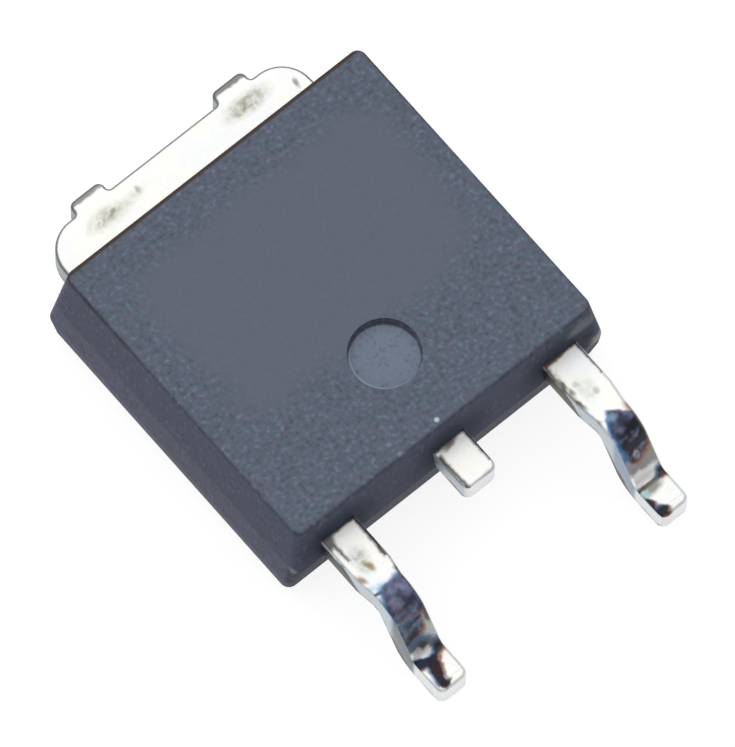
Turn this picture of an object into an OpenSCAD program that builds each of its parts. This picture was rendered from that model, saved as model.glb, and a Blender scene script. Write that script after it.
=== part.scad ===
// Surface-mount power transistor: a moulded body on a copper lead frame, with a wide drain
// tab at one end, two gull-wing leads and a cropped middle lead at the other.
// X runs across the leads, the leads point to -Y and +Z is up. The origin is the middle of
// the overall outline, on the plane that the tab and the feet are soldered to.

/* [Moulded body] */
// Width across the leads, at the side parting line
body_w = 6.52; // [6.35:0.01:6.75]
// Length between the lead end and the tab end, each at its parting line
body_l = 6.12; // [5.97:0.01:6.22]
// Height of the body above the soldering plane
body_h = 2.3; // [2.25:0.01:2.4]
// Slope of the mould walls, measured from upright
wall_draft = 7; // [3:0.5:9]
// Slope of the wall under the leads, measured from upright
under_lead_draft = 11; // [5:0.5:14]
// Radius of the four upright corners
body_corner_r = 0.16; // [0.08:0.01:0.3]
// Radius of the edge round the top face
top_edge_r = 0.06; // [0.02:0.01:0.07]

/* [Ejector mark] */
// Diameter of the round mark in the top face
mark_d = 1.2; // [0.8:0.05:1.5]
// Depth of the mark
mark_depth = 0.12; // [0.05:0.01:0.15]
// Distance from the lead end to the middle of the mark
mark_from_lead_end = 1.64; // [1.4:0.01:2]
// Radius of the soft edge between the wall and the floor of the mark
mark_floor_r = 0.08; // [0.02:0.01:0.1]

/* [Lead frame] */
// Thickness of the copper sheet
sheet_t = 0.5; // [0.46:0.01:0.55]
// Spacing of neighbouring leads
lead_pitch = 2.286; // [2.25:0.001:2.32]
// Height of the leads' underside above the soldering plane, where they leave the body
lead_underside = 1.1; // [0.95:0.01:1.15]
// Inside radius of every bend in the sheet
sheet_bend_r = 0.12; // [0.08:0.01:0.2]

/* [Drain tab] */
// Width of the tab and of the paddle that carries the die
tab_w = 5.12; // [4.95:0.01:5.4]
// How far the tab stands out of the body, without its stubs
tab_reach = 1; // [0.89:0.01:1.2]
// Radius of the tab's outer corners
tab_corner_r = 0.6; // [0.3:0.01:0.62]
// Distance from each side of the tab to the stub left where it was cropped from its strip
tie_stub_inset = 0.76; // [0.73:0.01:0.9]
// Width of each stub
tie_stub_w = 0.66; // [0.5:0.01:0.8]
// How far each stub stands out of the tab
tie_stub_l = 0.22; // [0.2:0.01:0.35]
// Radius of the stubs' outer corners
tie_stub_corner_r = 0.12; // [0.05:0.01:0.13]
// Radius of the fillet at the foot of each stub
tie_stub_fillet_r = 0.07; // [0.03:0.01:0.08]
// Length of the paddle inside the body, from the tab end
paddle_l = 4.5; // [4.3:0.01:4.55]
// Width of the coined rim that the moulding grips, along three sides of the paddle
lock_rim_w = 0.2; // [0.1:0.01:0.3]
// Thickness that the sheet keeps at the rim
lock_rim_t = 0.25; // [0.2:0.01:0.3]
// Distance from the tab end of the body to the end of the rim
lock_rim_setback = 0.3; // [0.2:0.01:0.5]

/* [Middle lead] */
// Width of the neck between the paddle and the middle lead
neck_w = 0.9; // [0.75:0.01:1]
// Slope of the neck where it climbs from the paddle to the level of the leads
neck_slope = 60; // [50:1:75]
// Width of the cropped middle lead
stub_w = 0.66; // [0.6:0.01:0.74]
// How far the cropped lead stands out of the body
stub_reach = 0.76; // [0.64:0.01:1.01]
// Radius of the corners of the cropped end
stub_corner_r = 0.06; // [0.02:0.01:0.1]

/* [Gull-wing leads] */
// How far the lead tips stand out from the lead end of the body
lead_reach = 2.82; // [2.7:0.01:3]
// Width of the leads beside the body
shoulder_w = 0.7; // [0.66:0.01:0.9]
// Length of the wide stretch, from the body
shoulder_l = 0.8; // [0.6:0.01:0.9]
// Length over which the lead narrows
shoulder_taper_l = 0.35; // [0.1:0.01:0.4]
// Width of the lead from there to its tip
foot_w = 0.6; // [0.55:0.01:0.66]
// Distance from the body to the start of the first bend
bend_reach = 1.2; // [1.15:0.01:1.25]
// Slope of the lead between its two bends
lead_slope = 63; // [55:1:75]
// Radius of the tip's corners
foot_corner_r = 0.15; // [0.05:0.01:0.25]
// Setback of the bond posts from the lead end, inside the body
post_setback = 0.25; // [0.15:0.01:0.35]
// Length of the bond posts along the lead
post_l = 0.82; // [0.7:0.01:0.9]
// How far each post reaches past the outer edge of its lead
post_overhang = 0.12; // [0.05:0.01:0.2]
// Gap between the neck of the middle lead and each post
post_gap = 0.25; // [0.2:0.01:0.4]

/* [Die] */
// Size of the silicon die across the leads
die_w = 3.6; // [3.2:0.05:4]
// Size of the die along the leads
die_l = 2.7; // [2.2:0.05:3]
// Thickness of the die
die_t = 0.25; // [0.18:0.01:0.3]
// Distance from the front edge of the paddle to the die
die_setback = 0.8; // [0.5:0.05:1]
// Thickness of the solder under the die
solder_t = 0.05; // [0.03:0.01:0.1]
// How far the solder runs out past the die
solder_margin = 0.12; // [0.05:0.01:0.2]

/* [Bond wires] */
// Diameter of the gate wire
gate_wire_d = 0.13; // [0.1:0.01:0.15]
// Diameter of each of the two source wires
source_wire_d = 0.38; // [0.3:0.01:0.4]
// Thickness of moulding over the top of the loops
loop_cover = 0.16; // [0.13:0.01:0.2]
// Slope at which the wires leave the die
wire_rise = 60; // [45:1:70]
// Radius of the bends over the die, in wire diameters
wire_bend_ratio = 1.5; // [1.2:0.1:2]
// Length of the level top of the loops
loop_flat = 0.15; // [0.05:0.01:0.2]
// Steepest slope on the way down to the posts, as a multiple of the mean slope there
wire_fall_ratio = 1.7; // [1.3:0.1:1.9]
// Gap between the wedge-shaped ends of neighbouring source wires
wedge_gap = 0.06; // [0.03:0.01:0.1]
// Distance from the gate wire to the side edge of the die
gate_pad_inset = 0.5; // [0.3:0.05:0.7]
// Distance from the front edge of the die to the gate wire's bond
gate_pad_setback = 0.35; // [0.2:0.05:0.6]

/* [Hidden] */

// Thickness of the slices that the moulded blank is stretched over
slice_t = 0.001;
// Steps in the rounding of the top edge, in a rounded corner or bend, and in a wire's bend
edge_steps = 4;
arc_steps = 12;
wire_steps = 6;
// Sides of a wire
wire_sides = 10;
// Middle of a bonded wire above the surface, as a share of its diameter
bond_lift = 0.55;
// Radius of the middle of the sheet in a bend
sheet_mid_r = sheet_bend_r + sheet_t / 2;
// The mould parts level with the top of the tab along the sides and the tab end, and level
// with the underside of the leads at the lead end
side_part_z = sheet_t;
lead_part_z = lead_underside;

// Places along Y, from the lead tips to the ends of the tab stubs
overall_l = lead_reach + body_l + tab_reach + tie_stub_l;
tip_y = -overall_l / 2;
lead_end_y = tip_y + lead_reach;
tab_end_y = lead_end_y + body_l;
paddle_front_y = tab_end_y - paddle_l;
mark_y = lead_end_y + mark_from_lead_end;
stub_end_y = lead_end_y - stub_reach;
bend_y = lead_end_y - bend_reach;
post_front_y = lead_end_y + post_setback;
post_y = post_front_y + post_l / 2;
die_front_y = paddle_front_y + die_setback;
die_y = die_front_y + die_l / 2;

// Places along X
post_inner_x = neck_w / 2 + post_gap;
post_outer_x = lead_pitch + shoulder_w / 2 + post_overhang;

// Heights
lead_top_z = lead_underside + sheet_t;
die_top_z = sheet_t + solder_t + die_t;

// Wedge-shaped ends of a wire, pressed flat on the die and on the post
function wedge_l(d) = 1.6 * d;
function wedge_w(d) = 1.25 * d;
function wedge_h(d) = 0.7 * d;
function source_wire_x(i) =
    post_inner_x + wedge_gap + wedge_w(source_wire_d) / 2 + i * (wedge_w(source_wire_d) + wedge_gap);

// How far the walls have drawn in at a height, at the sides and tab end and at the lead end
function side_inset(z) = abs(z - side_part_z) * tan(wall_draft);
function lead_end_inset(z) = z > lead_part_z
    ? (z - lead_part_z) * tan(wall_draft)
    : (lead_part_z - z) * tan(under_lead_draft);

// Points round a centre, from one angle to another
function arc(centre, r, from, to) = [
    for (i = [0:arc_steps])
        let (a = from + (to - from) * i / arc_steps)
        centre + r * [cos(a), sin(a)]
];

function reversed(list) = [for (i = [len(list) - 1:-1:0]) list[i]];

// Jog of a strip or wire: it bends by an angle, runs straight and bends back, so that it ends
// level again at a height h above its start, or below it where h is negative
function jog_straight(h, angle, r) = (abs(h) - 2 * r * (1 - cos(angle))) / sin(angle);
function jog_run(h, angle, r) = 2 * r * sin(angle) + jog_straight(h, angle, r) * cos(angle);

// Points [y, z] along a jog that heads for -Y, at an offset above its middle line
function jog_path(y, z, h, angle, r, offset, steps) =
    let (k = sign(h), end_y = y - jog_run(h, angle, r), end_z = z + h)
    concat(
        [for (i = [0:steps]) let (a = angle * i / steps)
            [y - (r - k * offset) * sin(a), z + k * r * (1 - cos(a)) + offset * cos(a)]],
        [for (i = [steps:-1:0]) let (a = angle * i / steps)
            [end_y + (r + k * offset) * sin(a), end_z - k * r * (1 - cos(a)) + offset * cos(a)]]
    );

// Sheet seen edge on, from y = from to y = to, with one jog that starts at jog_y
module strip_profile(from, jog_y, to, z, h, angle) {
    half_t = sheet_t / 2;
    polygon(concat(
        [[from, z + half_t]],
        jog_path(jog_y, z, h, angle, sheet_mid_r, half_t, arc_steps),
        [[to, z + h + half_t], [to, z + h - half_t]],
        reversed(jog_path(jog_y, z, h, angle, sheet_mid_r, -half_t, arc_steps)),
        [[from, z - half_t]]
    ));
}

// Stretches an outline in Y and Z across the leads
module across(w) {
    rotate([90, 0, 90]) linear_extrude(w, center = true) children();
}

// Wire bonded at one end to the die and at the other to a post. It climbs, runs level at the
// height that the moulding allows, and comes down to the post over what is left of its run.
module bond_wire(d, x, from_y, to_y) {
    loop_z = body_h - loop_cover - d / 2;
    rise = loop_z - die_top_z - bond_lift * d;
    rise_r = wire_bend_ratio * d;
    fall = loop_z - lead_top_z - bond_lift * d;
    fall_y = from_y - jog_run(rise, wire_rise, rise_r) - loop_flat;
    fall_run = fall_y - to_y;
    fall_angle = wire_fall_ratio * atan(fall / fall_run);
    fall_r = (fall_run - fall / tan(fall_angle)) / (2 * tan(fall_angle / 2));
    color([0.82, 0.83, 0.85]) {
        wedge_foot(d, x, from_y, die_top_z);
        wire_tube(d, x, [for (side = [0:wire_sides - 1])
            let (offset = d / 2 * sin(360 * side / wire_sides))
            concat(
                [[from_y + d / 2, die_top_z + bond_lift * d + offset]],
                jog_path(from_y, loop_z - rise, rise, wire_rise, rise_r, offset, wire_steps),
                jog_path(fall_y, loop_z, -fall, fall_angle, fall_r, offset, wire_steps),
                [[to_y - d / 2, lead_top_z + bond_lift * d + offset]]
            )
        ]);
        wedge_foot(d, x, to_y - wedge_l(d), lead_top_z);
    }
}

// Round wire through one path of points [y, z] for each of its sides
module wire_tube(d, x, paths) {
    rings = len(paths[0]);
    last = wire_sides - 1;
    function corner(side, ring) = (side % wire_sides) * rings + ring;
    polyhedron(
        points = [for (side = [0:last]) for (at = paths[side])
            [x + d / 2 * cos(360 * side / wire_sides), at[0], at[1]]],
        faces = concat(
            [for (side = [0:last]) for (ring = [0:rings - 2])
                [corner(side, ring), corner(side, ring + 1),
                 corner(side + 1, ring + 1), corner(side + 1, ring)]],
            [[for (side = [0:last]) corner(side, 0)]],
            [[for (side = [last:-1:0]) corner(side, rings - 1)]]
        )
    );
}

// Flattened end of a wire, from y towards +Y, on a surface at height z
module wedge_foot(d, x, y, z) {
    translate([x - wedge_w(d) / 2, y, z]) cube([wedge_w(d), wedge_l(d), wedge_h(d)]);
}

// Corner posts of one slice through the moulded blank, drawn in by an inset
module body_slice(z, inset = 0) {
    x = body_w / 2 - side_inset(z) - body_corner_r;
    front_y = lead_end_y + lead_end_inset(z) + body_corner_r;
    back_y = tab_end_y - side_inset(z) - body_corner_r;
    for (at = [[-x, front_y], [x, front_y], [x, back_y], [-x, back_y]])
        translate([at[0], at[1], z]) cylinder(r = body_corner_r - inset, h = slice_t, $fn = 32);
}

module moulded_blank() {
    hull() {
        body_slice(0);
        body_slice(side_part_z);
        body_slice(lead_part_z);
        for (i = [0:edge_steps]) {
            a = 90 * i / edge_steps;
            body_slice(body_h - slice_t - top_edge_r * (1 - sin(a)), top_edge_r * (1 - cos(a)));
        }
    }
}

// Shallow round pocket with a soft edge round its floor
module ejector_mark() {
    wall_r = mark_d / 2;
    translate([0, mark_y, body_h - mark_depth]) rotate_extrude($fn = 96) polygon(concat(
        [[0, 0]],
        arc([wall_r - mark_floor_r, mark_floor_r], mark_floor_r, -90, 0),
        [[wall_r, 2 * mark_depth], [0, 2 * mark_depth]]
    ));
}

module mould_body() {
    color([0.39, 0.41, 0.46]) difference() {
        moulded_blank();
        ejector_mark();
        drain_tab();
        gate_lead();
        source_lead();
        die_solder();
        die();
        gate_wire();
        source_wire_1();
        source_wire_2();
    }
}

// One side of the tab's outline, from the front corner of the paddle to the middle of the tab
function tab_side() =
    let (end_y = tab_end_y + tab_reach,
         stub_end_y = end_y + tie_stub_l,
         outer_x = tab_w / 2 - tie_stub_inset,
         inner_x = outer_x - tie_stub_w,
         corner = tie_stub_corner_r,
         fillet = tie_stub_fillet_r)
    concat(
        [[tab_w / 2, paddle_front_y]],
        arc([tab_w / 2 - tab_corner_r, end_y - tab_corner_r], tab_corner_r, 0, 90),
        arc([outer_x + fillet, end_y + fillet], fillet, 270, 180),
        arc([outer_x - corner, stub_end_y - corner], corner, 0, 90),
        arc([inner_x + corner, stub_end_y - corner], corner, 90, 180),
        arc([inner_x - fillet, end_y + fillet], fillet, 360, 270)
    );

module tab_outline() {
    side = tab_side();
    polygon(concat(side, [for (at = reversed(side)) [-at[0], at[1]]]));
}

// Space under the coined rim, along both sides of the paddle and past its front edge
module lock_rim_space() {
    full_w = tab_w - 2 * lock_rim_w;
    front_y = paddle_front_y - sheet_bend_r - sheet_t;
    back_y = tab_end_y - lock_rim_setback;
    depth = sheet_t - lock_rim_t;
    translate([0, 0, -depth]) linear_extrude(2 * depth) difference() {
        translate([-tab_w, front_y]) square([2 * tab_w, back_y - front_y]);
        translate([-full_w / 2, paddle_front_y + lock_rim_w]) square([full_w, paddle_l]);
    }
}

// Outline of the neck and the cropped middle lead
module middle_lead_outline() {
    back_y = paddle_front_y + lock_rim_w;
    step_y = lead_end_y + post_setback;
    side = concat(
        [[neck_w / 2, back_y], [neck_w / 2, step_y], [stub_w / 2, step_y]],
        arc([stub_w / 2 - stub_corner_r, stub_end_y + stub_corner_r], stub_corner_r, 0, -90)
    );
    polygon(concat(side, [for (at = reversed(side)) [-at[0], at[1]]]));
}

// Tab, paddle, climbing neck and cropped middle lead, all one piece of sheet
module drain_tab() {
    color([0.93, 0.93, 0.9]) difference() {
        union() {
            linear_extrude(sheet_t) tab_outline();
            intersection() {
                across(2 * neck_w) strip_profile(die_front_y, paddle_front_y, 2 * stub_end_y,
                                                 sheet_t / 2, lead_underside, neck_slope);
                linear_extrude(body_h) middle_lead_outline();
            }
        }
        lock_rim_space();
    }
}

// Outline of an outer lead on the +X side, from above
module lead_outline() {
    half_foot = foot_w / 2;
    half_shoulder = shoulder_w / 2;
    wide_end_y = lead_end_y - shoulder_l;
    taper_end_y = wide_end_y - shoulder_taper_l;
    post_back_y = post_front_y + post_l;
    polygon(concat(
        arc([lead_pitch + half_foot - foot_corner_r, tip_y + foot_corner_r], foot_corner_r, -90, 0),
        [[lead_pitch + half_foot, taper_end_y],
         [lead_pitch + half_shoulder, wide_end_y],
         [lead_pitch + half_shoulder, post_front_y],
         [post_outer_x, post_front_y],
         [post_outer_x, post_back_y],
         [post_inner_x, post_back_y],
         [post_inner_x, post_front_y],
         [lead_pitch - half_shoulder, post_front_y],
         [lead_pitch - half_shoulder, wide_end_y],
         [lead_pitch - half_foot, taper_end_y]],
        arc([lead_pitch - half_foot + foot_corner_r, tip_y + foot_corner_r], foot_corner_r, 180, 270)
    ));
}

// Lead on the +X side: bond post, shoulder, slope and foot
module gull_wing_lead() {
    color([0.93, 0.93, 0.9]) intersection() {
        across(2 * body_w) strip_profile(0, bend_y, 2 * tip_y, lead_underside + sheet_t / 2,
                                         -lead_underside, lead_slope);
        linear_extrude(body_h) lead_outline();
    }
}

module source_lead() {
    gull_wing_lead();
}

module gate_lead() {
    mirror([1, 0, 0]) gull_wing_lead();
}

module die_solder() {
    w = die_w + 2 * solder_margin;
    l = die_l + 2 * solder_margin;
    color([0.62, 0.63, 0.66]) translate([-w / 2, die_y - l / 2, sheet_t]) cube([w, l, solder_t]);
}

module die() {
    color([0.34, 0.36, 0.42]) translate([-die_w / 2, die_front_y, sheet_t + solder_t])
        cube([die_w, die_l, die_t]);
}

module gate_wire() {
    bond_wire(gate_wire_d, gate_pad_inset - die_w / 2, die_front_y + gate_pad_setback,
              post_y + wedge_l(gate_wire_d) / 2);
}

module source_wire(i) {
    bond_wire(source_wire_d, source_wire_x(i), die_y, post_y + wedge_l(source_wire_d) / 2);
}

module source_wire_1() {
    source_wire(0);
}

module source_wire_2() {
    source_wire(1);
}

mould_body();
drain_tab();
gate_lead();
source_lead();
die();
die_solder();
gate_wire();
source_wire_1();
source_wire_2();
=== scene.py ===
import math

import bmesh
import bpy
from mathutils import Matrix, Vector


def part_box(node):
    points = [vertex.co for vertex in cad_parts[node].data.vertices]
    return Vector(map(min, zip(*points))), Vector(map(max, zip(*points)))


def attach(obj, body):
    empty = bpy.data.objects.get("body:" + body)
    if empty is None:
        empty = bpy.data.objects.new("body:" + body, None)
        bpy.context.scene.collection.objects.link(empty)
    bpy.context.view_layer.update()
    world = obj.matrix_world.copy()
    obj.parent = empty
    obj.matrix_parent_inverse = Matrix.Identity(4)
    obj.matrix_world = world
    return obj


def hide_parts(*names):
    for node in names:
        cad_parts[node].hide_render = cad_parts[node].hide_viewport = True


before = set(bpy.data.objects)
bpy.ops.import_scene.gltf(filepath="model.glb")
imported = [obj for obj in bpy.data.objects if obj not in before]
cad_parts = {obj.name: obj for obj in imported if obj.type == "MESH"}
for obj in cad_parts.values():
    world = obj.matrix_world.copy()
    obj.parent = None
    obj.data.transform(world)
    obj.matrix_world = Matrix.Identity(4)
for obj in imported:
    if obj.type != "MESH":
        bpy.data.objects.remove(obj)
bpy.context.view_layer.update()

mm = 0.001  # pieces are modelled in millimetres and scaled to metres when they are finished
scene = bpy.context.scene


# where the CAD model has things, in millimetres

def cadBox(node):
    low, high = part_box(node)
    return Vector(low) / mm, Vector(high) / mm


bodyLow, bodyHigh = cadBox("mould_body")
tabHigh = cadBox("drain_tab")[1]
leadLow, leadHigh = cadBox("source_lead")

sheet = {
    "thickness": 0.5,
    "leadPitch": 2.286,
    "bendRadius": 0.12,  # inside radius of every bend
    "bendSteps": 14,
    "cornerSteps": 8,
    "rolledAngle": 60,  # edges sharper than this, in degrees, are rolled
    "rolledSteps": 4,
    "smoothAngle": 32,  # and edges flatter than this are shaded smooth
    "insideWall": 0.12,  # how far inside the body the rolled edges start
}
leadTop = leadHigh.z
leadUnderside = leadTop - sheet["thickness"]
leadMiddle = leadTop - sheet["thickness"] / 2
leadEnd = bodyLow.y  # the body's wall on the leads' side
tabEnd = bodyHigh.y


# node helpers

smooth = {"interpolation_type": "SMOOTHSTEP"}


def linearColor(hexCode):
    channels = [int(hexCode[i:i + 2], 16) / 255 for i in (1, 3, 5)]
    return [c / 12.92 if c <= 0.04045 else ((c + 0.055) / 1.055) ** 2.4 for c in channels] + [1]


def emptyTree(owner):
    owner.use_nodes = True
    owner.node_tree.nodes.clear()
    return owner.node_tree


def addNode(tree, kind, inputs=(), **settings):
    # inputs are listed in the order of the sockets in use, or by name; each is a number, a vector, a hex
    # colour, a socket, or a node, whose first output is then linked
    node = tree.nodes.new("ShaderNode" + kind)
    for name, value in settings.items():
        setattr(node, name, value)
    named = isinstance(inputs, dict)
    sockets = [node.inputs[name] for name in inputs] if named else [s for s in node.inputs if s.enabled]
    for socket, value in zip(sockets, inputs.values() if named else inputs):
        if isinstance(value, bpy.types.Node):
            value = next(s for s in value.outputs if s.enabled)
        if isinstance(value, bpy.types.NodeSocket):
            tree.links.new(value, socket)
        else:
            socket.default_value = linearColor(value) if isinstance(value, str) else value
    return node


def millimetres(tree):
    # the piece's own coordinates, which are the part's, in millimetres
    point = addNode(tree, "TexCoord").outputs["Object"]
    return addNode(tree, "VectorMath", [point, 1 / mm], operation="SCALE")


def pushed(tree, point, size, amount):
    # the point moved about by noise, so that marks laid out on it get ragged edges; the noise strays from
    # its middle by about a quarter, so four times the amount moves the point about that far
    drift = addNode(tree, "TexNoise", [point, 1 / size, 4]).outputs["Color"]
    drift = addNode(tree, "VectorMath", [drift, (0.5, 0.5, 0.5)], operation="SUBTRACT")
    return addNode(tree, "VectorMath", [drift, (amount * 4,) * 3, point], operation="MULTIPLY_ADD")


def patch(tree, point, centre, size, soft=0.35, turn=0):
    # 1 inside a round blotch with these half sizes, in millimetres, and 0 outside it
    local = addNode(tree, "Mapping", [point, centre, (0, 0, math.radians(turn)), size], vector_type="TEXTURE")
    distance = addNode(tree, "VectorMath", [local], operation="LENGTH")
    return addNode(tree, "MapRange", [distance, 1 - soft, 1 + soft, 1, 0], **smooth)


def region(tree, point, outline, soft):
    # 1 inside a convex outline seen from above, listed anticlockwise in millimetres, and 0 outside it
    inside = 1.0
    for (x1, y1), (x2, y2) in zip(outline, outline[1:] + outline[:1]):
        inward = Vector((y1 - y2, x2 - x1, 0)).normalized()
        depth = addNode(tree, "VectorMath", [point, inward], operation="DOT_PRODUCT")
        depth = addNode(tree, "Math", [depth, inward.x * x1 + inward.y * y1], operation="SUBTRACT")
        inside = addNode(tree, "Math", [depth, inside], operation="MINIMUM")
    return addNode(tree, "MapRange", [inside, -soft, soft], **smooth)


def painted(tree, tone, color, *masks):
    # the tone with a colour laid over it where all the masks are 1
    mask = masks[0]
    for other in masks[1:]:
        mask = addNode(tree, "Math", [mask, other], operation="MULTIPLY")
    return addNode(tree, "Mix", [mask, tone, color], data_type="RGBA")


# black moulding compound: epoxy filled with silica and pressed in a spark-eroded mould, which gives the
# eye a dull, slightly blue-grey face with a fine grain, calmer in the middle, and a smoother spot in the mark
moulding = {
    "face": "#5F6472",
    "rim": "#56606E",
    "wall": "#52556C",
    "lowerWall": "#696B7E",  # it faces a little down, into less light
    # painted shade: the lower front, which faces down, is painted darker
    "lowerFrontShade": "#383B48",
    "frontSpan": (-2.0, -2.08),  # where the lower side walls turn into the lower front
    "partingSpan": (1.14, 1.07),  # heights round the parting line on the leads' side
    "topSpan": (0.03, 0.005),  # depths below the top where the walls' look turns into the top's
    "grit": 0.08,  # the eroded grain is nearer 0.02 mm: drawn coarser so that it shows
    "gritDepth": 0.005,
    "gritStretch": (1, 1, 0.6),  # the walls' grain runs up them
    "bright": ("#8390A6", 0.42),  # specks of the grain: colour and strength
    "dark": ("#34363E", 0.6),
    "tint": 0.14,  # size of the teal and lilac casts
    "casts": ("#4C616C", "#635C74"),
    "castShare": 0.3,
    "wallGrain": 1.35,  # how much stronger the grain is on the walls than on the top
    "calmGrain": 0.8,  # how much of it the calm area and the mark's floor lose
    "floorGrain": 0.5,
    "roughness": (0.62, 0.75),
    "calmArea": [(-2.3, 0.1), (-1.9, -0.25), (1.7, -0.2), (2.5, 0.2), (2.6, 2.4), (2.1, 2.95), (-2.2, 2.85),
                 (-2.45, 2.3)],
    "calmRagged": (0.9, 0.16),  # size of the bays in its border, and how far they reach
    "markRadius": 0.6,
    "markMiddle": (0, -0.62, 2.2),
    "markFloor": "#727E90",
    # painted highlight and painted shadow in the mark: discs off its middle that leave a crescent of its edge, a pale
    # lit one and a dark one in shadow: shift, radius, softness, its colour
    "markLightAndShadow": [((0.045, 0.01), 0.58, 0.04, "#98A2B3"), ((-0.03, -0.036), 0.575, 0.03, "#33313C")],
    # painted shade along the top edges
    "edge": "#33313C",
    "edgeSpan": (0.14, 0.05, 0.02),  # depths where the dark line begins, is full, and starts to end at the top
    "edgeFade": (1.2, 2.6, 0.35, 0.95),  # from where to where in Y it darkens, and from what to what strength
    # painted shade: a brown line along the back edge where the tab's end meets it
    "backEdge": "#3E2C26",
    "backFade": (3.545, 3.59, 0, 0.95),
    "backSpan": (0.08, 0.03),  # depths where it begins and is full
    # painted shade on the front wall over each lead's root
    "rootShade": ("#1F2A3E", 0.8),
    "rootShadePlace": (-2.2, 1.55),  # in Y and Z, over each lead
    "rootShadeSize": (0.72, 0.3, 0.5),
    "cornerRagged": (0.2, 0.03),  # size and reach of the bays in the corners' spots
    # painted highlights on the corners, and a painted shade between two of them: middle, half sizes, colour, strength
    "corners": [((2.77, -2.18, 1.92), (0.28, 0.25, 0.15), "#858B90", 0.75),
                ((2.74, -2.24, 1.46), (0.2, 0.2, 0.12), "#1E2528", 0.8),
                ((3.04, -2.2, 1.1), (0.17, 0.16, 0.17), "#D2D5CF", 0.8),
                ((-3.2, -2.16, 1.1), (0.05, 0.1, 0.12), "#9AA2B4", 0.7)],
    "dust": [(-0.09, -2.0, 0.95), (-0.93, -1.84, 0.2), (-0.9, -2.07, 0.25)],
    "dustColor": "#C0CED9",
    "dustSize": (0.038, 0.038, 0.05),
}


def makeMoulding():
    material = bpy.data.materials.new("spark-eroded epoxy moulding")
    tree = emptyTree(material)
    point = millimetres(tree)
    split = addNode(tree, "SeparateXYZ", [point]).outputs
    y, z = split["Y"], split["Z"]
    stretched = addNode(tree, "VectorMath", [point, moulding["gritStretch"]], operation="MULTIPLY")
    grit = addNode(tree, "TexNoise", [stretched, 1 / moulding["grit"], 1])
    hue = addNode(tree, "TexNoise", [stretched, 1 / moulding["tint"], 2])
    calm = region(tree, pushed(tree, point, *moulding["calmRagged"]), moulding["calmArea"], 0.3)
    paintedLight = pushed(tree, point, *moulding["cornerRagged"])
    high = bodyHigh.z
    topSpan = [high - depth for depth in moulding["topSpan"]]
    top = addNode(tree, "MapRange", [z, *topSpan], **smooth)
    radius = moulding["markRadius"]
    floor = patch(tree, point, moulding["markMiddle"], (radius, radius, 0.06), soft=0.04)
    # tone of the faces
    tone = painted(tree, moulding["rim"], moulding["face"], calm)
    front = addNode(tree, "MapRange", [y, *moulding["frontSpan"]], **smooth)
    under = painted(tree, moulding["lowerWall"], moulding["lowerFrontShade"], front)
    lower = addNode(tree, "MapRange", [z, *moulding["partingSpan"]], **smooth)
    tone = painted(tree, painted(tree, moulding["wall"], under, lower), tone, top)
    tone = painted(tree, tone, moulding["markFloor"], floor)
    # painted highlight and painted shadow round the mark's edge
    for (shiftX, shiftY), radius, soft, color in moulding["markLightAndShadow"]:
        middle = Vector(moulding["markMiddle"]) + Vector((shiftX, shiftY, 0))
        inner = patch(tree, point, middle, (radius, radius, 1), soft)
        tone = painted(tree, tone, color, addNode(tree, "Math", [floor, inner], operation="SUBTRACT"))
    # the grain, with teal and lilac casts
    calm = addNode(tree, "Math", [calm, top], operation="MULTIPLY")
    calm = addNode(tree, "Math", [calm, moulding["calmGrain"]], operation="MULTIPLY")
    still = addNode(tree, "Math", [floor, moulding["floorGrain"]], operation="MULTIPLY")
    still = addNode(tree, "Math", [calm, still], operation="MAXIMUM")
    lively = addNode(tree, "Math", [1, still], operation="SUBTRACT")
    cast = painted(tree, *moulding["casts"], addNode(tree, "MapRange", [hue, 0.4, 0.6], **smooth))
    tone = painted(tree, tone, cast, lively, moulding["castShare"])
    livelier = addNode(tree, "MapRange", [z, *topSpan, moulding["wallGrain"], 1], **smooth)
    lively = addNode(tree, "Math", [lively, livelier], operation="MULTIPLY")
    for stop, (color, share) in ((0.85, moulding["bright"]), (0.15, moulding["dark"])):
        tone = painted(tree, tone, color, lively, addNode(tree, "MapRange", [grit, 0.5, stop, 0, share], **smooth))
    # painted shade along the top edges, and a brown line of painted shade where the tab's end meets them
    begin, full, end = moulding["edgeSpan"]
    tone = painted(tree, tone, moulding["edge"],
                   addNode(tree, "MapRange", [z, high - begin, high - full], **smooth),
                   addNode(tree, "MapRange", [z, high, high - end], **smooth),
                   addNode(tree, "MapRange", [hue, 0.3, 0.6, 1, 0.6], **smooth),
                   addNode(tree, "MapRange", [y, *moulding["edgeFade"]], **smooth))
    begin, full = moulding["backSpan"]
    tone = painted(tree, tone, moulding["backEdge"],
                   addNode(tree, "MapRange", [y, *moulding["backFade"]], **smooth),
                   addNode(tree, "MapRange", [z, high - begin, high - full], **smooth))
    # painted shade on the wall round the leads, painted highlights and a painted shade on the corners, and dust
    for middle in (-sheet["leadPitch"], 0, sheet["leadPitch"]):
        rootShade = patch(tree, point, (middle, *moulding["rootShadePlace"]), moulding["rootShadeSize"], soft=0.5)
        tone = painted(tree, tone, moulding["rootShade"][0], rootShade, moulding["rootShade"][1])
    for middle, size, color, strength in moulding["corners"]:
        tone = painted(tree, tone, color, patch(tree, paintedLight, middle, size, soft=0.45), strength)
    for spotX, spotY, strength in moulding["dust"]:
        spot = patch(tree, point, (spotX, spotY, high), moulding["dustSize"], soft=0.6)
        tone = painted(tree, tone, moulding["dustColor"], spot, strength)
    height = addNode(tree, "Math", [grit, lively], operation="MULTIPLY")
    shader = addNode(tree, "BsdfPrincipled", {
        "Base Color": tone, "IOR": 1.5, "Specular IOR Level": 0.3,
        "Roughness": addNode(tree, "MapRange", [grit, 0.2, 0.8, *moulding["roughness"]], **smooth),
        "Normal": addNode(tree, "Bump", {"Height": height, "Distance": moulding["gritDepth"] * mm})})
    addNode(tree, "OutputMaterial", [shader])
    return material
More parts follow.
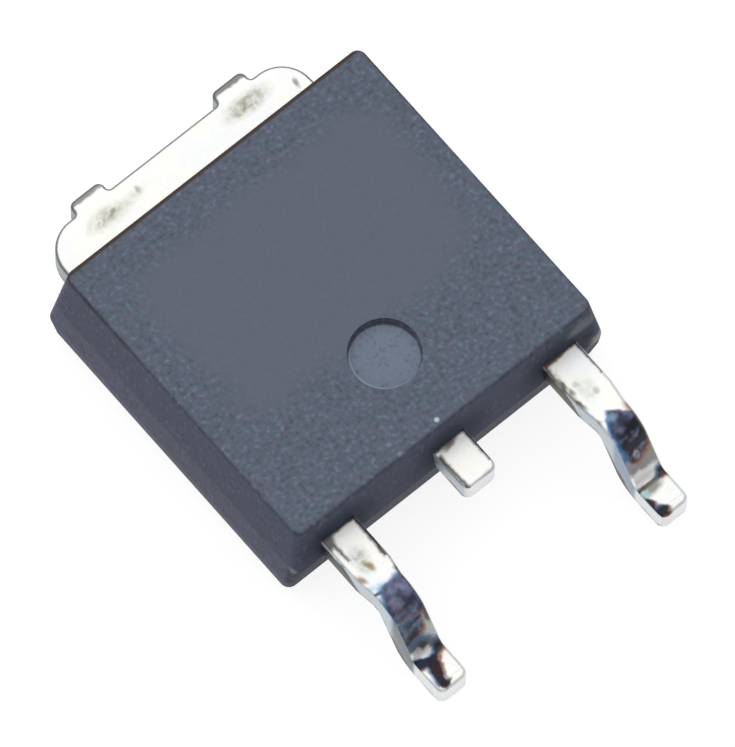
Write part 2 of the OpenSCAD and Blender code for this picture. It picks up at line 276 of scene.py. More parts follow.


# matte tin plate on copper strip: nearly white with a satin sheen, largely painted nearly black on the slopes and
# round the bend to the foot as a painted reflection of dark surroundings, with painted blue and brown fringes,
# stained olive by handling, and dull grey on the sheared sides
tin = {
    "plate": "#EFEEE9",
    "cool": "#E6EAEE",
    "grit": 0.03,
    "gritDepth": 0.0015,
    "metal": 0.7,
    "roughness": (0.34, 0.46),
    "cloudSize": 0.35,
    "mottleSize": 0.1,
    "ragged": (0.13, 0.022),  # size of the bays in the marks' borders, and how far they reach
    "rims": [((-0.036, 0.036), "#346A9C"), ((0.036, -0.036), "#8C5A3E")],  # painted blue and brown fringes round the dark marks: how far each is shifted, and its colour
    "rimShare": 0.85,
    "reflectionEnd": (-4.3, -4.4),  # from where to where in Y the painted dark reflection on the slope ends
    "reflectionSize": 0.17,
    "paleReflection": ("#7E88A6", 0.65),  # colours and strengths of the painted reflection where it is paler and where it is deeper
    "deepReflection": ("#22242F", 0.55),
    "burnish": "#D2DCE3",
    # painted highlight: the burnished sides are painted whiter on the feet
    "footBurnish": "#F4F7F8",
    "footSpan": (-4.36, -4.46),
    "slopeShadeFade": (-3.8, -3.95, 0, 0.75),  # painted shade on the slope's sides: from where to where in Y, and from what to what strength
    # painted highlight: the cropped ends painted near white
    "burnishSpan": (0.02, 0.14),  # heights over the torn part where the burnished one begins
    "cropped": "#FBFCFC",
    "greyEdge": "#5F6264",
    "greyEdgeFade": (3.8, 3.9, 0, 0.85),
    "greyEdgeHeights": [(0.4995, 0.493), (0.4, 0.46, 0.6, 1)],  # where it ends at the top, and where it is strongest
}

# where a strip's underside starts and stops falling, in Y, from and to what height, how much higher the torn part of
# its sides reaches behind the slope, and the tone of that part, and the painted shade laid over the burnished part of
# the sides on the slope
tabSides = {"fall": (0.1, -0.3), "heights": (0, leadUnderside), "higher": 0, "torn": "#444443", "paintedLight": "#565B67"}
gateSides = dict(tabSides, fall=(-3.5, -4.35), heights=(leadUnderside, 0), higher=0.36)
sourceSides = dict(gateSides, torn="#4E3C26", paintedLight="#8A9DB2")

# marks seen from above, in millimetres from the middle of the lead and along Y: an outline, or a blotch's
# centre, half sizes and turn, then softness, colour, strength, and whether the mark has rims or is mottled
gateMarks = [
    ([(-0.4, -4.3), (0.4, -4.3), (0.4, -3.9), (-0.4, -3.9)], 0.03, "#A9AFB4", 0.9, ""),
    # painted highlight: a blue strip on the rolled left edge
    ([(-0.4, -3.98), (-0.2, -3.98), (-0.2, -3.52), (-0.4, -3.52)], 0.04, "#8F9FB2", 0.85, ""),
    # painted shadow of the body across the root
    ([(-0.4, -2.24), (0.4, -2.24), (0.4, -2.1), (-0.4, -2.1)], 0.03, "#2A1B15", 0.95, ""),
    ([(-0.4, -2.46), (-0.27, -2.42), (-0.17, -2.31), (-0.13, -2.1), (-0.4, -2.1)], 0.05, "#504F4D", 0.9, ""),
    ([(-0.235, -2.75), (-0.19, -2.75), (-0.21, -2.36), (-0.26, -2.36)], 0.035, "#37291F", 0.95, ""),
    # painted shade along the rolled right edge
    ([(0.26, -3.02), (0.32, -3.02), (0.4, -2.1), (0.28, -2.1)], 0.035, "#3A2118", 0.95, ""),
    (((-0.06, -2.84), (0.13, 0.23), -8), 0.65, "#98A08E", 0.8, "mottled"),
    (((-0.03, -3.0), (0.05, 0.1), 15), 0.75, "#8A6C38", 0.85, ""),
    (((-0.27, -3.1), (0.045, 0.1), 25), 0.75, "#83704F", 0.85, ""),
    (((-0.2, -3.36), (0.18, 0.08), -10), 0.65, "#9CC4D0", 0.75, "mottled"),
    (((0.3, -3.31), (0.06, 0.09), 0), 0.65, "#57575B", 0.85, ""),
    # from here down the slope to the foot, the dark marks and the spots among them are largely painted reflection of
    # dark surroundings
    ([(-0.34, -3.46), (-0.14, -3.5), (-0.14, -3.42), (-0.33, -3.41)], 0.025, "#3A3540", 0.9, ""),
    ([(-0.26, -3.95), (0.14, -4.0), (0.4, -4.01), (0.4, -3.4), (0.22, -3.38), (-0.12, -3.42), (-0.18, -3.53),
      (-0.26, -3.74)], 0.04, "#535870", 0.98, "rims"),
    (((-0.1, -3.76), (0.11, 0.1), 35), 0.75, "#8A86A4", 0.85, "mottled"),
    (((0.1, -3.66), (0.09, 0.13), 0), 0.75, "#706E90", 0.7, ""),
    (((-0.04, -3.84), (0.08, 0.025), 15), 0.65, "#5E4442", 0.6, ""),
    ([(-0.3, -4.02), (0.26, -4.06), (0.26, -4.01), (-0.3, -3.975)], 0.025, "#8A6248", 0.85, ""),
    ([(-0.4, -4.22), (-0.02, -4.2), (0.11, -4.15), (0.17, -4.07), (0.15, -4.03), (-0.4, -4.01)],
     0.03, "#3A4049", 0.97, "rims"),
    (((-0.03, -4.09), (0.1, 0.035), 0), 0.75, "#5F6E7A", 0.8, ""),
    (((-0.26, -4.14), (0.07, 0.05), 0), 0.75, "#4F7580", 0.5, ""),
    (((0.24, -4.14), (0.07, 0.09), 0), 0.75, "#B7BEB0", 0.8, ""),
    (((0.27, -4.07), (0.07, 0.08), 0), 0.5, "#4A3A40", 0.85, ""),
    ([(-0.3, -4.32), (0.14, -4.36), (0.22, -4.3), (0.1, -4.245), (-0.2, -4.23), (-0.3, -4.26)],
     0.022, "#5A6468", 0.85, "rims"),
    # painted highlight: a pure white band in the bend to the foot
    (((-0.06, -4.385), (0.24, 0.055), -12), 0.4, "#FFFFFF", 1.0, ""),
    ([(-0.4, -4.375), (-0.4, -4.5), (-0.25, -4.56), (-0.05, -4.62), (0.04, -4.52), (-0.06, -4.465), (-0.25, -4.385)],
     0.025, "#1B2238", 0.98, "rims"),
    ([(0.05, -4.56), (0.22, -4.5), (0.28, -4.44), (0.33, -4.32), (0.17, -4.32), (0.1, -4.44), (0.05, -4.53)],
     0.03, "#2C303A", 0.96, "rims"),
    ([(-0.12, -4.64), (0.08, -4.56), (0.12, -4.5), (0.06, -4.47), (-0.12, -4.48)], 0.025, "#221C28", 0.97, "rims"),
    ([(-0.2, -5.0), (-0.09, -4.99), (-0.05, -4.9), (0.04, -4.67), (0.04, -4.56), (-0.15, -4.56), (-0.2, -4.8)],
     0.028, "#241B22", 0.98, "rims"),
    (((-0.09, -4.98), (0.11, 0.04), 10), 0.45, "#241B22", 0.95, ""),
    (((-0.03, -4.9), (0.03, 0.05), 0), 0.75, "#7FA6B6", 0.7, ""),
    (((-0.28, -4.9), (0.04, 0.14), 0), 0.75, "#AAB3D6", 0.75, ""),
]
sourceMarks = [
    ([(-0.4, -4.27), (0.4, -4.3), (0.4, -3.95), (-0.4, -3.95)], 0.03, "#8C8A90", 0.92, ""),
    (((0.26, -4.16), (0.13, 0.1), 0), 0.75, "#8C8C7C", 0.8, ""),
    # painted shadow of the body across the root
    ([(-0.4, -2.27), (0.4, -2.23), (0.4, -2.1), (-0.4, -2.1)], 0.03, "#4C2C1C", 0.95, ""),
    ([(-0.4, -2.46), (-0.31, -2.42), (-0.27, -2.1), (-0.4, -2.1)], 0.04, "#6A4028", 0.85, ""),
    ([(-0.4, -3.08), (-0.28, -3.0), (-0.25, -2.4), (-0.4, -2.4)], 0.05, "#A2A692", 0.85, "mottled"),
    (((-0.3, -2.64), (0.03, 0.09), 0), 0.75, "#434530", 0.85, ""),
    (((-0.27, -2.82), (0.035, 0.06), 0), 0.75, "#686B5A", 0.8, ""),
    (((-0.3, -3.05), (0.03, 0.13), 12), 0.75, "#5C3E33", 0.9, ""),
    # painted shade along the rolled right edge
    ([(0.3, -2.86), (0.4, -2.86), (0.4, -2.1), (0.28, -2.1)], 0.03, "#303244", 0.92, ""),
    (((-0.06, -2.92), (0.14, 0.2), 10), 0.65, "#BAC1B0", 0.6, "mottled"),
    (((-0.14, -2.76), (0.05, 0.05), 0), 0.75, "#97A8AC", 0.6, ""),
    (((0.04, -3.04), (0.05, 0.05), 0), 0.75, "#9A9B78", 0.5, ""),
    # from here down the slope to the foot, the dark marks and the spots among them are largely painted reflection of
    # dark surroundings
    (((-0.34, -3.5), (0.09, 0.06), 10), 0.65, "#64645E", 0.9, ""),
    ([(-0.28, -4.12), (-0.14, -4.12), (-0.08, -3.6), (-0.18, -3.53), (-0.26, -3.72)], 0.04, "#3F7AB2", 0.92, ""),
    (((0.26, -3.58), (0.05, 0.12), 12), 0.7, "#A8764C", 0.75, ""),
    ([(-0.2, -4.13), (-0.1, -4.18), (0.04, -4.15), (0.25, -4.08), (0.28, -3.68), (0.1, -3.53), (-0.04, -3.43),
      (-0.12, -3.54), (-0.2, -3.74)], 0.035, "#2E2D3A", 0.98, "rims"),
    (((-0.06, -3.56), (0.07, 0.07), 20), 0.75, "#86AEC6", 0.6, ""),
    (((-0.12, -3.77), (0.08, 0.07), 0), 0.75, "#6E7496", 0.7, "mottled"),
    (((0.06, -3.66), (0.1, 0.1), 0), 0.75, "#5A5E7E", 0.6, ""),
    (((-0.035, -4.12), (0.05, 0.04), 0), 0.65, "#C0B6C2", 0.75, ""),
    # painted highlight: a pure white band in the bend to the foot
    ([(-0.4, -4.43), (0.24, -4.43), (0.34, -4.32), (-0.4, -4.3)], 0.025, "#FFFFFF", 1.0, ""),
    ([(-0.4, -4.53), (0.2, -4.53), (0.2, -4.45), (-0.4, -4.44)], 0.025, "#352D2B", 0.95, ""),
    ([(0.11, -4.52), (0.34, -4.52), (0.32, -4.33), (0.2, -4.37)], 0.035, "#3A3334", 0.95, "rims"),
    (((-0.06, -4.57), (0.17, 0.08), 10), 0.65, "#73766C", 0.85, ""),
    (((-0.23, -4.58), (0.07, 0.05), 0), 0.75, "#96BCC4", 0.85, ""),
    ([(-0.4, -4.9), (-0.24, -4.9), (-0.2, -4.74), (-0.27, -4.6), (-0.4, -4.58)], 0.035, "#1F2838", 0.98, "rims"),
    ([(-0.4, -5.06), (-0.13, -5.05), (-0.06, -4.96), (-0.11, -4.87), (-0.4, -4.86)], 0.035, "#1E222C", 0.98, "rims"),
]
tabMarks = [  # those of the middle lead too
    (((1.5, 4.58), (0.38, 0.15), 0), 0.65, "#A2A392", 0.95, "mottled"),
    (((1.4, 4.54), (0.16, 0.06), 0), 0.75, "#8E8E7A", 0.8, "mottled"),
    (((-1.46, 4.52), (0.32, 0.15), 0), 0.65, "#B2B3A6", 0.85, "mottled"),
    (((-1.34, 4.52), (0.16, 0.05), 0), 0.75, "#8C8C76", 0.9, "mottled"),
    (((-0.98, 4.5), (0.3, 0.09), 10), 0.75, "#C8C9BE", 0.7, "mottled"),
    (((-0.78, 4.57), (0.035, 0.07), 0), 0.75, "#9A9B86", 0.7, ""),
    (((2.33, 4.34), (0.045, 0.08), -10), 0.75, "#7C765E", 0.8, ""),
    # painted shadow of the body across the middle lead's root
    ([(-0.4, -2.25), (0.4, -2.21), (0.4, -2.1), (-0.4, -2.1)], 0.03, "#33261B", 0.92, ""),
    (((-0.03, -2.25), (0.15, 0.05), 10), 0.75, "#54462F", 0.8, ""),
    ([(-0.29, -3.08), (-0.24, -3.08), (-0.26, -2.3), (-0.33, -2.3)], 0.035, "#41382D", 0.95, ""),
    # painted shade along the stub's rolled right edge
    ([(0.28, -2.84), (0.4, -2.84), (0.4, -2.1), (0.26, -2.1)], 0.035, "#281C17", 0.95, ""),
    # painted shade: a blue-grey patch at the stub's end
    (((0.2, -3.03), (0.22, 0.06), 0), 0.75, "#B4BFCE", 0.7, ""),
    ([(1.1, 4.97), (1.8, 4.95), (1.84, 5.2), (1.1, 5.2)], 0.025, "#5C6259", 0.85, ""),
    ([(-1.84, 4.97), (-1.2, 4.98), (-1.2, 5.2), (-1.84, 5.2)], 0.025, "#5C6259", 0.8, ""),
]


def makeTin(name, middle, marks, sides):
    material = bpy.data.materials.new(name)
    tree = emptyTree(material)
    point = millimetres(tree)
    split = addNode(tree, "SeparateXYZ", [point]).outputs
    y, z = split["Y"], split["Z"]
    facing = addNode(tree, "SeparateXYZ", [addNode(tree, "TexCoord").outputs["Normal"]]).outputs
    grit = addNode(tree, "TexNoise", [point, 1 / tin["grit"], 3])
    cloud = addNode(tree, "TexNoise", [point, 1 / tin["cloudSize"], 3])
    plain = painted(tree, tin["plate"], tin["cool"], addNode(tree, "MapRange", [cloud, 0.4, 0.65, 0, 0.6], **smooth))
    # stains, and painted shadow, shade, highlights and reflection, on the faces that look up
    shifted = addNode(tree, "VectorMath", [point, (middle, 0, 0)], operation="SUBTRACT")
    marked = pushed(tree, shifted, *tin["ragged"])
    mottle = addNode(tree, "TexNoise", [point, 1 / tin["mottleSize"], 4])
    mottle = addNode(tree, "MapRange", [mottle, 0.35, 0.65, 0.4, 1], **smooth)
    tone = plain
    darkReflection = 0.0
    for place, soft, color, strength, style in marks:
        if isinstance(place, tuple):
            (x, along), (halfWidth, halfLength), turn = place
            mask = patch(tree, marked, (x, along, 0), (halfWidth, halfLength, 100), soft, turn)
        else:
            mask = region(tree, marked, place, soft)
        mask = addNode(tree, "Math", [mask, strength], operation="MULTIPLY")
        if style == "rims":  # only where no dark mark lies yet
            bare = addNode(tree, "Math", [1, darkReflection], operation="SUBTRACT")
            for (aside, ahead), rim in tin["rims"]:
                moved = [(x + aside, along + ahead) for x, along in place]
                tone = painted(tree, tone, rim, region(tree, marked, moved, soft), tin["rimShare"], bare)
            darkReflection = addNode(tree, "Math", [darkReflection, mask], operation="MAXIMUM")
        masks = [mask, mottle] if style == "mottled" else [mask]
        tone = painted(tree, tone, color, *masks)
    # the painted dark reflection on the slope is paler in places, where it looks lilac, and deeper in others
    onFoot = addNode(tree, "MapRange", [y, *tin["reflectionEnd"]], **smooth)
    darkReflection = addNode(tree, "Math", [darkReflection, addNode(tree, "Math", [1, onFoot], operation="SUBTRACT")],
                   operation="MULTIPLY")
    uneven = addNode(tree, "TexNoise", [marked, 1 / tin["reflectionSize"], 1])
    for start, stop, (color, share) in ((0.45, 0.7, tin["paleReflection"]), (0.48, 0.34, tin["deepReflection"])):
        tone = painted(tree, tone, color, darkReflection, addNode(tree, "MapRange", [uneven, start, stop, 0, share], **smooth))
    upward = addNode(tree, "MapRange", [facing["Z"], -0.4, -0.1], **smooth)
    tone = painted(tree, plain, tone, upward)
    # sheared sides, bright where the blade burnished them and dark where the strip tore
    falls = addNode(tree, "MapRange", [y, *sides["fall"], *sides["heights"]])
    above = addNode(tree, "Math", [z, falls], operation="SUBTRACT")
    above = addNode(tree, "Math", [above, addNode(tree, "MapRange", [cloud, 0.3, 0.7, -0.05, 0.05], **smooth)],
                    operation="ADD")
    foot = sides["fall"][1]
    behind = addNode(tree, "MapRange", [y, foot + 1.1, foot + 1.7, 0, sides["higher"]], **smooth)
    above = addNode(tree, "Math", [above, behind], operation="SUBTRACT")
    onFoot = addNode(tree, "MapRange", [y, *tin["footSpan"]], **smooth)
    burnish = painted(tree, tin["burnish"], tin["footBurnish"], onFoot)
    # painted shade over the burnished part of the sides on the slope
    burnish = painted(tree, burnish, sides["paintedLight"], addNode(tree, "MapRange", [y, *tin["slopeShadeFade"]], **smooth),
                      addNode(tree, "Math", [1, onFoot], operation="SUBTRACT"))
    sheared = painted(tree, sides["torn"], burnish, addNode(tree, "MapRange", [above, *tin["burnishSpan"]], **smooth))
    side = addNode(tree, "Math", [facing["X"]], operation="ABSOLUTE")
    tone = painted(tree, tone, sheared, addNode(tree, "MapRange", [side, 0.6, 0.85], **smooth))
    # cropped ends, painted near white: a painted highlight
    tilt = addNode(tree, "Math", [facing["Z"]], operation="ABSOLUTE")
    level = addNode(tree, "MapRange", [tilt, 0.4, 0.15], **smooth)
    tone = painted(tree, tone, tin["cropped"], level,
                   addNode(tree, "MapRange", [facing["Y"], -0.3, -0.8, 0, 0.9], **smooth))
    # the tab's rolled edges and sides at the back, painted grey
    tone = painted(tree, tone, tin["greyEdge"],
                   addNode(tree, "MapRange", [y, *tin["greyEdgeFade"]], **smooth),
                   *[addNode(tree, "MapRange", [z, *span], **smooth) for span in tin["greyEdgeHeights"]], upward)
    shader = addNode(tree, "BsdfPrincipled", {
        "Base Color": tone, "Metallic": tin["metal"],
        "Roughness": addNode(tree, "MapRange", [grit, 0.2, 0.8, *tin["roughness"]], **smooth),
        "Normal": addNode(tree, "Bump", {"Height": grit, "Distance": tin["gritDepth"] * mm})})
    addNode(tree, "OutputMaterial", [shader])
    return material


# what the pieces inside are made of: size and detail of the grain, its two tones, and the roughness and
# what else they give the shader
innerMaterials = {
    # sawn silicon under its passivation glass: dark grey with a faint violet cast
    "passivated silicon": ((0.8, 2), ("#4A4E5C", "#5A5468"), (0.2, 0.3), {"IOR": 1.8}),
    # reflowed solder: dull grey with a frosted grain
    "reflowed solder": ((0.05, 3), ("#9A9CA0", "#B4B5B8"), (0.4, 0.55), {"Metallic": 1.0}),
    # drawn aluminium wire: soft bright grey, a little uneven
    "drawn aluminium wire": ((0.03, 2), ("#CBCBD0", "#E2E2E6"), (0.25, 0.35), {"Metallic": 1.0}),
}


def makeInner(name):
    (size, detail), tones, rough, values = innerMaterials[name]
    material = bpy.data.materials.new(name)
    tree = emptyTree(material)
    grain = addNode(tree, "TexNoise", [millimetres(tree), 1 / size, detail])
    rough = addNode(tree, "MapRange", [grain, 0.3, 0.7, *rough], **smooth)
    values = {"Base Color": painted(tree, *tones, grain), "Roughness": rough, **values}
    addNode(tree, "OutputMaterial", [addNode(tree, "BsdfPrincipled", values)])
    return material


mouldingMaterial = makeMoulding()
print("materials ready")


# modelling helpers

def boxed(bm, low, high):
    made = bmesh.ops.create_cube(bm, size=1)["verts"]
    low, high = Vector(low), Vector(high)
    bmesh.ops.scale(bm, vec=high - low, verts=made)
    bmesh.ops.translate(bm, vec=(low + high) / 2, verts=made)


def withParts(faces):
    return list({e for f in faces for e in f.edges}) + list({v for f in faces for v in f.verts}) + list(faces)


def cut(bm, geometry, point, normal):
    bmesh.ops.bisect_plane(bm, geom=geometry, plane_co=point, plane_no=normal)


def faceAt(bm, place):
    return min(bm.faces, key=lambda f: (f.calc_center_median() - Vector(place)).length)


def splitFace(bm, y, z, width):
    # parts the front face at this place into three, and returns the middle one, this wide
    for x in (-width / 2, width / 2):
        bm.normal_update()
        facing = [f for f in bm.faces if abs(f.normal.y) > 0.9
                  and (f.calc_center_median() - Vector((f.calc_center_median().x, y, z))).length < 0.01]
        cut(bm, withParts(facing), (x, 0, 0), (1, 0, 0))
    return faceAt(bm, (0, y, z))


def extend(bm, face, offset, steps=1):
    for _ in range(steps):
        made = bmesh.ops.extrude_face_region(bm, geom=withParts([face]))["geom"]
        face = next(g for g in made if isinstance(g, bmesh.types.BMFace))
        bmesh.ops.translate(bm, vec=Vector(offset) / steps, verts=face.verts)
    return face


def bend(bm, face, centre, degrees):
    made = bmesh.ops.spin(bm, geom=withParts([face]), cent=centre, axis=(1, 0, 0), dvec=(0, 0, 0),
                          angle=math.radians(degrees), steps=sheet["bendSteps"], use_merge=False,
                          use_normal_flip=False, use_duplicate=False)["geom_last"]
    return next(g for g in made if isinstance(g, bmesh.types.BMFace))


def roundEdges(bm, edges, radius, segments):
    bmesh.ops.bevel(bm, geom=edges, offset=radius, offset_type="OFFSET", affect="EDGES", segments=segments,
                    profile=0.5, material=-1, clamp_overlap=False)


def finishPiece(bm, name, node, material):
    bmesh.ops.remove_doubles(bm, verts=bm.verts, dist=0.0005)
    bmesh.ops.recalc_face_normals(bm, faces=bm.faces)
    for face in bm.faces:
        face.smooth = True
    for edge in bm.edges:
        edge.smooth = edge.calc_face_angle(0) < math.radians(sheet["smoothAngle"])
    print(name, len(bm.faces), "faces", sum(not e.is_manifold for e in bm.edges), "open edges")
    bmesh.ops.scale(bm, vec=(mm, mm, mm), verts=bm.verts)
    mesh = bpy.data.meshes.new(name)
    bm.to_mesh(mesh)
    bm.free()
    mesh.materials.append(material)
    piece = bpy.data.objects.new(name, mesh)
    scene.collection.objects.link(piece)
    piece.modifiers.new("even shading", "WEIGHTED_NORMAL").keep_sharp = True
    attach(piece, "root")
    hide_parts(node)


# outer leads: bond post, shoulder, slope and foot, all one strip of sheet with rolled edges
lead = {
    "shoulderWidth": 0.7,
    "wideEnd": 0.8,  # where the strip starts to narrow, from the body
    "narrowEnd": 1.15,
    "footWidth": 0.6,
    "bendStart": 1.2,
    "slope": 63,
    "tipRadius": 0.15,
    "postFront": 0.25,  # inside the body
    "postLength": 0.82,
    "postInner": 0.7,  # from the middle of the part
    "rolledEdge": 0.07,
}


def makeLead(side, node, material):
    pitch = sheet["leadPitch"]
    half = lead["shoulderWidth"] / 2
    postY = leadEnd + lead["postFront"]
    bm = bmesh.new()
    boxed(bm, (lead["postInner"], postY, leadUnderside), (leadHigh.x, postY + lead["postLength"], leadTop))
    for x in (pitch - half, pitch + half):
        cut(bm, bm.verts[:] + bm.edges[:] + bm.faces[:], (x, 0, 0), (1, 0, 0))
    face = faceAt(bm, (pitch, postY, leadMiddle))
    wall = leadEnd + sheet["insideWall"]
    face = extend(bm, face, (0, wall - postY, 0))
    face = extend(bm, face, (0, leadEnd - lead["wideEnd"] - wall, 0), 4)
    face = extend(bm, face, (0, lead["wideEnd"] - lead["narrowEnd"], 0))
    narrow = Matrix.Diagonal((lead["footWidth"] / lead["shoulderWidth"], 1, 1))
    bmesh.ops.transform(bm, matrix=narrow.to_4x4(), space=Matrix.Translation((-pitch, 0, 0)), verts=face.verts)
    face = extend(bm, face, (0, lead["narrowEnd"] - lead["bendStart"], 0))
    bendY = leadEnd - lead["bendStart"]
    face = bend(bm, face, (pitch, bendY, leadUnderside - sheet["bendRadius"]), lead["slope"])
    angle = math.radians(lead["slope"])
    middleRadius = sheet["bendRadius"] + sheet["thickness"] / 2
    down = (leadUnderside - 2 * middleRadius * (1 - math.cos(angle))) / math.sin(angle)
    along = Vector((0, -math.cos(angle), -math.sin(angle)))
    face = extend(bm, face, along * down, 6)
    upward = Vector((0, -math.sin(angle), math.cos(angle)))
    face = bend(bm, face, face.calc_center_median() + upward * middleRadius, -lead["slope"])
    face = extend(bm, face, (0, leadLow.y - face.calc_center_median().y, 0), 4)
    tip = [e for e in face.edges if abs(e.verts[0].co.z - e.verts[1].co.z) > sheet["thickness"] / 2]
    roundEdges(bm, tip, lead["tipRadius"], sheet["cornerSteps"])
    bm.normal_update()
    rolled = [e for e in bm.edges if e.calc_face_angle(0) > math.radians(sheet["rolledAngle"])
              and max(v.co.y for v in e.verts) < wall + 0.01]
    roundEdges(bm, rolled, lead["rolledEdge"], sheet["rolledSteps"])
    if side < 0:
        bmesh.ops.scale(bm, vec=(-1, 1, 1), verts=bm.verts)
    finishPiece(bm, node + "_strip", node, material)


for side, node, marks, sides in ((1, "source_lead", sourceMarks, sourceSides),
                                 (-1, "gate_lead", gateMarks, gateSides)):
    name = "tin plate of the " + node.replace("_", " ")
    makeLead(side, node, makeTin(name, side * sheet["leadPitch"], marks, sides))
print("leads bent")


# soldering tab: paddle, tab with the stubs of its carrier strip, climbing neck and cropped middle lead
tab = {
    "width": 5.12,
    "reach": 1.0,
    "cornerRadius": 0.6,
    "stubInset": 0.76,
    "stubWidth": 0.66,
    "stubRadius": 0.12,
    "filletRadius": 0.07,
    "paddleLength": 4.5,
    "rimWidth": 0.2,
    "rimThickness": 0.25,
    "rimSetback": 0.3,
    "rimReach": 0.62,  # how far ahead of the paddle the coining block starts
    "neckWidth": 0.9,
    "neckSlope": 60,
    "middleWidth": 0.66,
    "middleReach": 0.76,
    "middleRadius": 0.14,
    "rolledEdge": 0.06,
    "rolledInside": 0.35,  # how far inside the body it starts at the tab
}


def makeTab(material):
    thickness = sheet["thickness"]
    halfWidth = tab["width"] / 2
    front = tabEnd - tab["paddleLength"]
    end = tabEnd + tab["reach"]
    outer = halfWidth - tab["stubInset"]
    inner = outer - tab["stubWidth"]
    half = [(halfWidth, front), (halfWidth, end), (outer, end), (outer, tabHigh.y), (inner, tabHigh.y), (inner, end)]
    outline = half + [(-x, y) for x, y in reversed(half)]
    bm = bmesh.new()
    bm.faces.new([bm.verts.new((x, y, 0)) for x, y in outline])
    for radius, spots in ((tab["cornerRadius"], [(halfWidth, end)]),
                          (tab["stubRadius"], [(outer, tabHigh.y), (inner, tabHigh.y)]),
                          (tab["filletRadius"], [(outer, end), (inner, end)])):
        corners = [v for v in bm.verts for x, y in spots
                   if abs(abs(v.co.x) - x) < 0.001 and abs(v.co.y - y) < 0.001]
        bmesh.ops.bevel(bm, geom=corners, offset=radius, offset_type="OFFSET", affect="VERTICES", segments=12,
                        profile=0.5, material=-1, clamp_overlap=False)
    made = bmesh.ops.extrude_face_region(bm, geom=bm.faces[:])["geom"]
    bmesh.ops.translate(bm, vec=(0, 0, thickness), verts=[g for g in made if isinstance(g, bmesh.types.BMVert)])
    face = splitFace(bm, front, thickness / 2, tab["neckWidth"])
    face = bend(bm, face, (0, front, thickness + sheet["bendRadius"]), -tab["neckSlope"])
    angle = math.radians(tab["neckSlope"])
    middleRadius = sheet["bendRadius"] + thickness / 2
    up = (leadUnderside - 2 * middleRadius * (1 - math.cos(angle))) / math.sin(angle)
    face = extend(bm, face, Vector((0, -math.cos(angle), math.sin(angle))) * up)
    downward = Vector((0, -math.sin(angle), -math.cos(angle)))
    face = bend(bm, face, face.calc_center_median() + downward * middleRadius, tab["neckSlope"])
    step = leadEnd + lead["postFront"]
    face = extend(bm, face, (0, step - face.calc_center_median().y, 0))
    face = splitFace(bm, step, leadMiddle, tab["middleWidth"])
    wall = leadEnd + sheet["insideWall"]
    face = extend(bm, face, (0, wall - step, 0))
    face = extend(bm, face, (0, leadEnd - tab["middleReach"] - wall, 0), 4)
    ends = [e for e in face.edges if abs(e.verts[0].co.z - e.verts[1].co.z) > thickness / 2]
    roundEdges(bm, ends, tab["middleRadius"], sheet["cornerSteps"])
    bmesh.ops.recalc_face_normals(bm, faces=bm.faces)
    bmesh.ops.scale(bm, vec=(mm, mm, mm), verts=bm.verts)
    mesh = bpy.data.meshes.new("tab_blank")
    bm.to_mesh(mesh)
    bm.free()
    blank = bpy.data.objects.new("tab_blank", mesh)
    scene.collection.objects.link(blank)
    coined = carveRim(blank, front)
    bm = bmesh.new()
    bm.from_mesh(coined)
    bpy.data.meshes.remove(coined)
    bmesh.ops.scale(bm, vec=(1 / mm, 1 / mm, 1 / mm), verts=bm.verts)
    bmesh.ops.remove_doubles(bm, verts=bm.verts, dist=0.001)
    bmesh.ops.recalc_face_normals(bm, faces=bm.faces)
    bm.normal_update()
    inside = tabEnd - tab["rolledInside"]
    rolled = [e for e in bm.edges if e.calc_face_angle(0) > math.radians(sheet["rolledAngle"])
              and (max(v.co.y for v in e.verts) < wall + 0.01 or min(v.co.y for v in e.verts) > inside)
              and min(v.co.z for v in e.verts) > 0.001]
    roundEdges(bm, rolled, tab["rolledEdge"], sheet["rolledSteps"])
    finishPiece(bm, "drain_tab_sheet", "drain_tab", material)


def carveRim(blank, front):
    # the coined rim that the moulding grips, cut with three blocks by a Boolean
    half = tab["width"] / 2
    depth = sheet["thickness"] - tab["rimThickness"]
    back = tabEnd - tab["rimSetback"]
    beyond = 1  # the blocks stand out of the paddle by this much
    bm = bmesh.new()
    for side in (-1, 1):
        near, far = sorted((side * (half - tab["rimWidth"]), side * (half + beyond)))
        boxed(bm, (near, front - beyond, -beyond), (far, back, depth))
    boxed(bm, (-half, front - tab["rimReach"], -beyond), (half, front + tab["rimWidth"], depth))
    bmesh.ops.scale(bm, vec=(mm, mm, mm), verts=bm.verts)
    mesh = bpy.data.meshes.new("rim_cutter")
    bm.to_mesh(mesh)
    bm.free()
    cutter = bpy.data.objects.new("rim_cutter", mesh)
    scene.collection.objects.link(cutter)
    coin = blank.modifiers.new("coined rim", "BOOLEAN")
    coin.operation, coin.object, coin.solver, coin.use_self = "DIFFERENCE", cutter, "EXACT", True
    bpy.context.view_layer.update()
    coined = bpy.data.meshes.new_from_object(blank.evaluated_get(bpy.context.evaluated_depsgraph_get()))
    for done in (blank, cutter):
        bpy.data.objects.remove(done)
    return coined


makeTab(makeTin("tin plate of the tab", 0, tabMarks, tabSides))
print("tab coined and cropped")


# the pieces that keep their CAD mesh
dressing = {"mould_body": mouldingMaterial, "die": makeInner("passivated silicon"),
            "die_solder": makeInner("reflowed solder")}
for node in ("gate_wire", "source_wire_1", "source_wire_2"):
    dressing[node] = makeInner("drawn aluminium wire")
for node, material in dressing.items():
    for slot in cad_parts[node].material_slots:
        slot.material = material
print("CAD pieces dressed")


# plain pale floor, light and camera
studio = {
    "floorSize": 3.0,
    "floorDrop": 0.00001,
    "floorColor": "#888888",
    "floorGlow": 0.84,
    "lampDirection": (0.0, 0.4, 0.9165),
    "lampDistance": 0.6,
    "lampSize": 1.2,
    "lampWatts": 4.2,
    "skyStrength": 0.6,
}
photoView = {
    "azimuth": -40.01,  # degrees, from looking along +Y
    "elevation": 69.35,
    "distance": 300.0,
    "pixelsPerMm": 62.92,
    "imageHeight": 747,
    "aim": (0, 0.76, 0),
    "aimRight": 0.6165,  # from the aim to the middle of the picture, along its edges
    "aimUp": -0.4935,
}


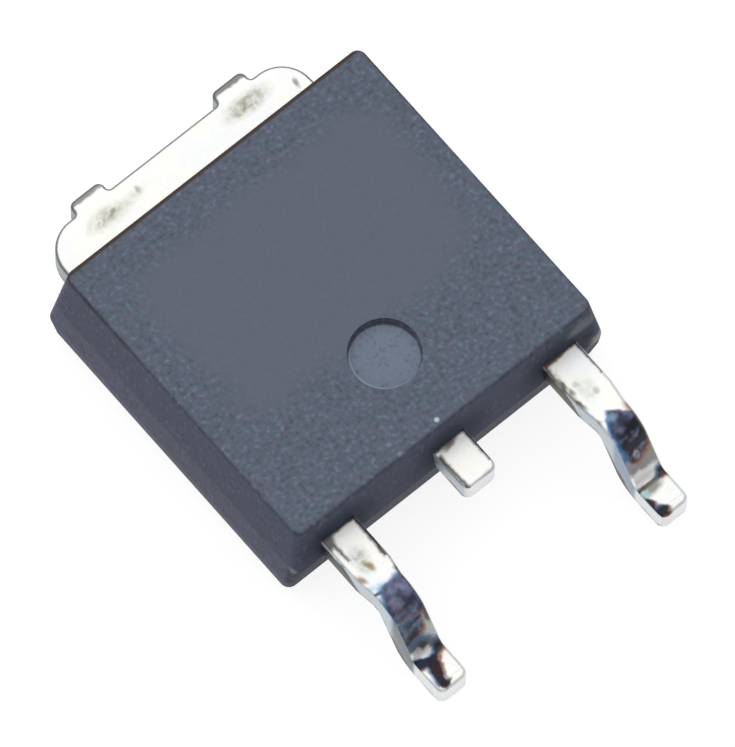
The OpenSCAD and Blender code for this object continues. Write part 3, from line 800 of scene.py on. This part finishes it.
def makeFloor():
    bm = bmesh.new()
    bmesh.ops.create_grid(bm, x_segments=1, y_segments=1, size=studio["floorSize"] / 2)
    bmesh.ops.translate(bm, vec=(0, 0, -studio["floorDrop"]), verts=bm.verts)
    mesh = bpy.data.meshes.new("floor")
    bm.to_mesh(mesh)
    bm.free()
    floor = bpy.data.objects.new("floor", mesh)
    scene.collection.objects.link(floor)
    material = bpy.data.materials.new("pale paper")
    tree = emptyTree(material)
    path = addNode(tree, "LightPath").outputs
    seen = addNode(tree, "Math", [path["Is Camera Ray"], path["Is Glossy Ray"]], operation="MAXIMUM")
    seen = addNode(tree, "Math", [seen, path["Is Transmission Ray"]], operation="MAXIMUM")
    glow = addNode(tree, "Math", [seen, studio["floorGlow"]], operation="MULTIPLY")
    glow = addNode(tree, "Emission", ["#FFFFFF", glow])
    matte = addNode(tree, "BsdfDiffuse", [studio["floorColor"]])
    addNode(tree, "OutputMaterial", [addNode(tree, "AddShader", [glow, matte])])
    mesh.materials.append(material)


def makeLight():
    direction = Vector(studio["lampDirection"])
    lamp = bpy.data.lights.new("overhead softbox", "AREA")
    lamp.shape, lamp.size, lamp.energy = "SQUARE", studio["lampSize"], studio["lampWatts"]
    lampObject = bpy.data.objects.new("overhead softbox", lamp)
    lampObject.location = direction * studio["lampDistance"]
    lampObject.rotation_euler = direction.to_track_quat("Z", "Y").to_euler()
    scene.collection.objects.link(lampObject)
    world = bpy.data.worlds.new("white room")
    scene.world = world
    tree = emptyTree(world)
    seen = addNode(tree, "LightPath").outputs["Is Camera Ray"]
    sky = addNode(tree, "MapRange", [seen, 0, 1, studio["skyStrength"], 1])
    addNode(tree, "OutputWorld", [addNode(tree, "Background", {"Strength": sky})])


def makeCamera():
    azimuth, elevation = math.radians(photoView["azimuth"]), math.radians(photoView["elevation"])
    right = Vector((math.cos(azimuth), math.sin(azimuth), 0))
    back = Vector((math.sin(azimuth) * math.cos(elevation), -math.cos(azimuth) * math.cos(elevation),
                   math.sin(elevation)))
    up = back.cross(right)
    target = Vector(photoView["aim"]) + right * photoView["aimRight"] + up * photoView["aimUp"]
    lens = bpy.data.cameras.new("photo camera")
    lens.lens = lens.sensor_width * photoView["pixelsPerMm"] * photoView["distance"] / photoView["imageHeight"]
    lens.clip_start, lens.clip_end = 0.01, 10
    camera = bpy.data.objects.new("photo camera", lens)
    turn = Matrix((right, up, back)).transposed().to_4x4()
    camera.matrix_world = Matrix.Translation((target + back * photoView["distance"]) * mm) @ turn
    scene.collection.objects.link(camera)
    scene.camera = camera


makeFloor()
makeLight()
makeCamera()
scene.view_settings.view_transform = "Standard"
print("studio set")
